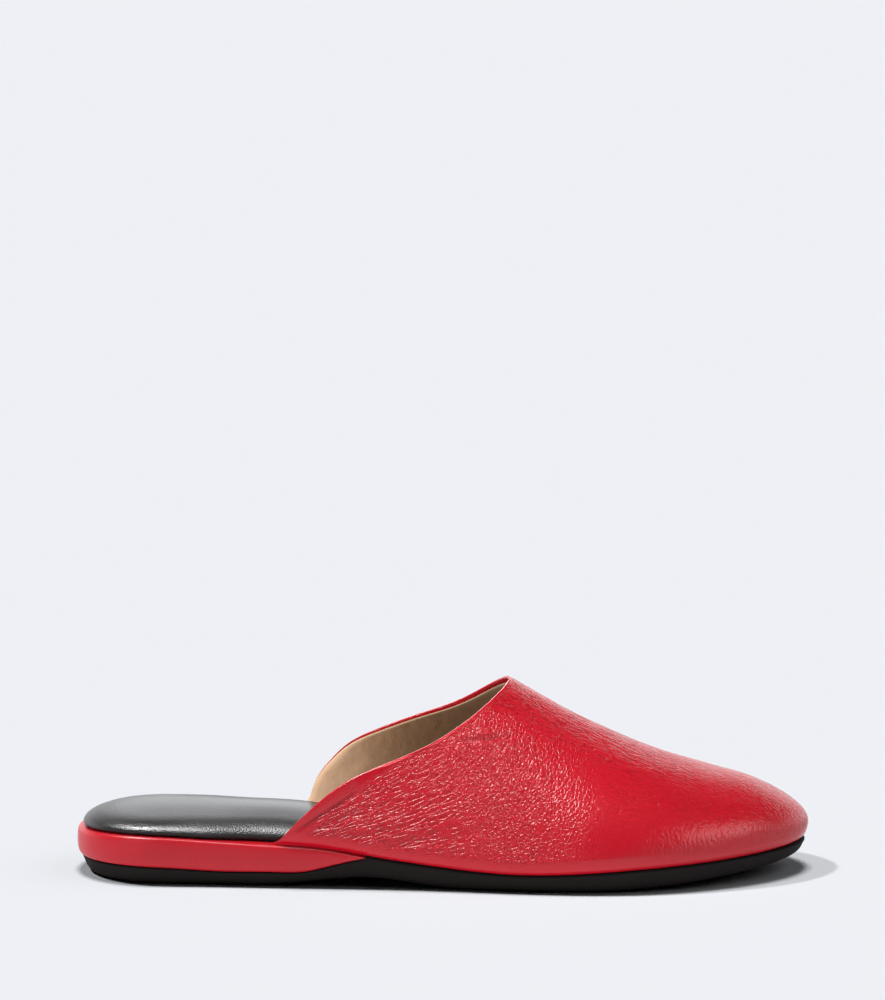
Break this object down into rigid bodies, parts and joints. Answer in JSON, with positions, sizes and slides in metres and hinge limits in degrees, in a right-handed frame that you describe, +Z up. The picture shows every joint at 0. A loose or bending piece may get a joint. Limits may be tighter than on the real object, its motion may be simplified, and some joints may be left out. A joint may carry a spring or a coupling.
{
  "type": "slipper",
  "caption": "Backless leather slipper for the right foot: grained vamp with folded topline, padded insole, covered heel platform and flat black outsole with rounded edge.",
  "frame": {"origin": "on the floor under the middle of the slipper", "axes": "+X from heel to toe, +Y to the inner side of the foot, +Z up"},
  "size_m": [0.288, 0.0928, 0.0754],
  "materials": {
    "outsole": "matte black rubber with a rounded, lightly buffed edge",
    "platform_leather": "smooth red leather, drawn tight over the platform's side",
    "insole_leather": "satin black leather over thin padding",
    "vamp_leather": "red grained leather with soft gloss, tan leather lining inside"
  },
  "bodies": {
    "root": {"outsole": "outsole", "heel_platform": "platform_leather", "insole": "insole_leather", "vamp": "vamp_leather"}
  },
  "joints": []
}
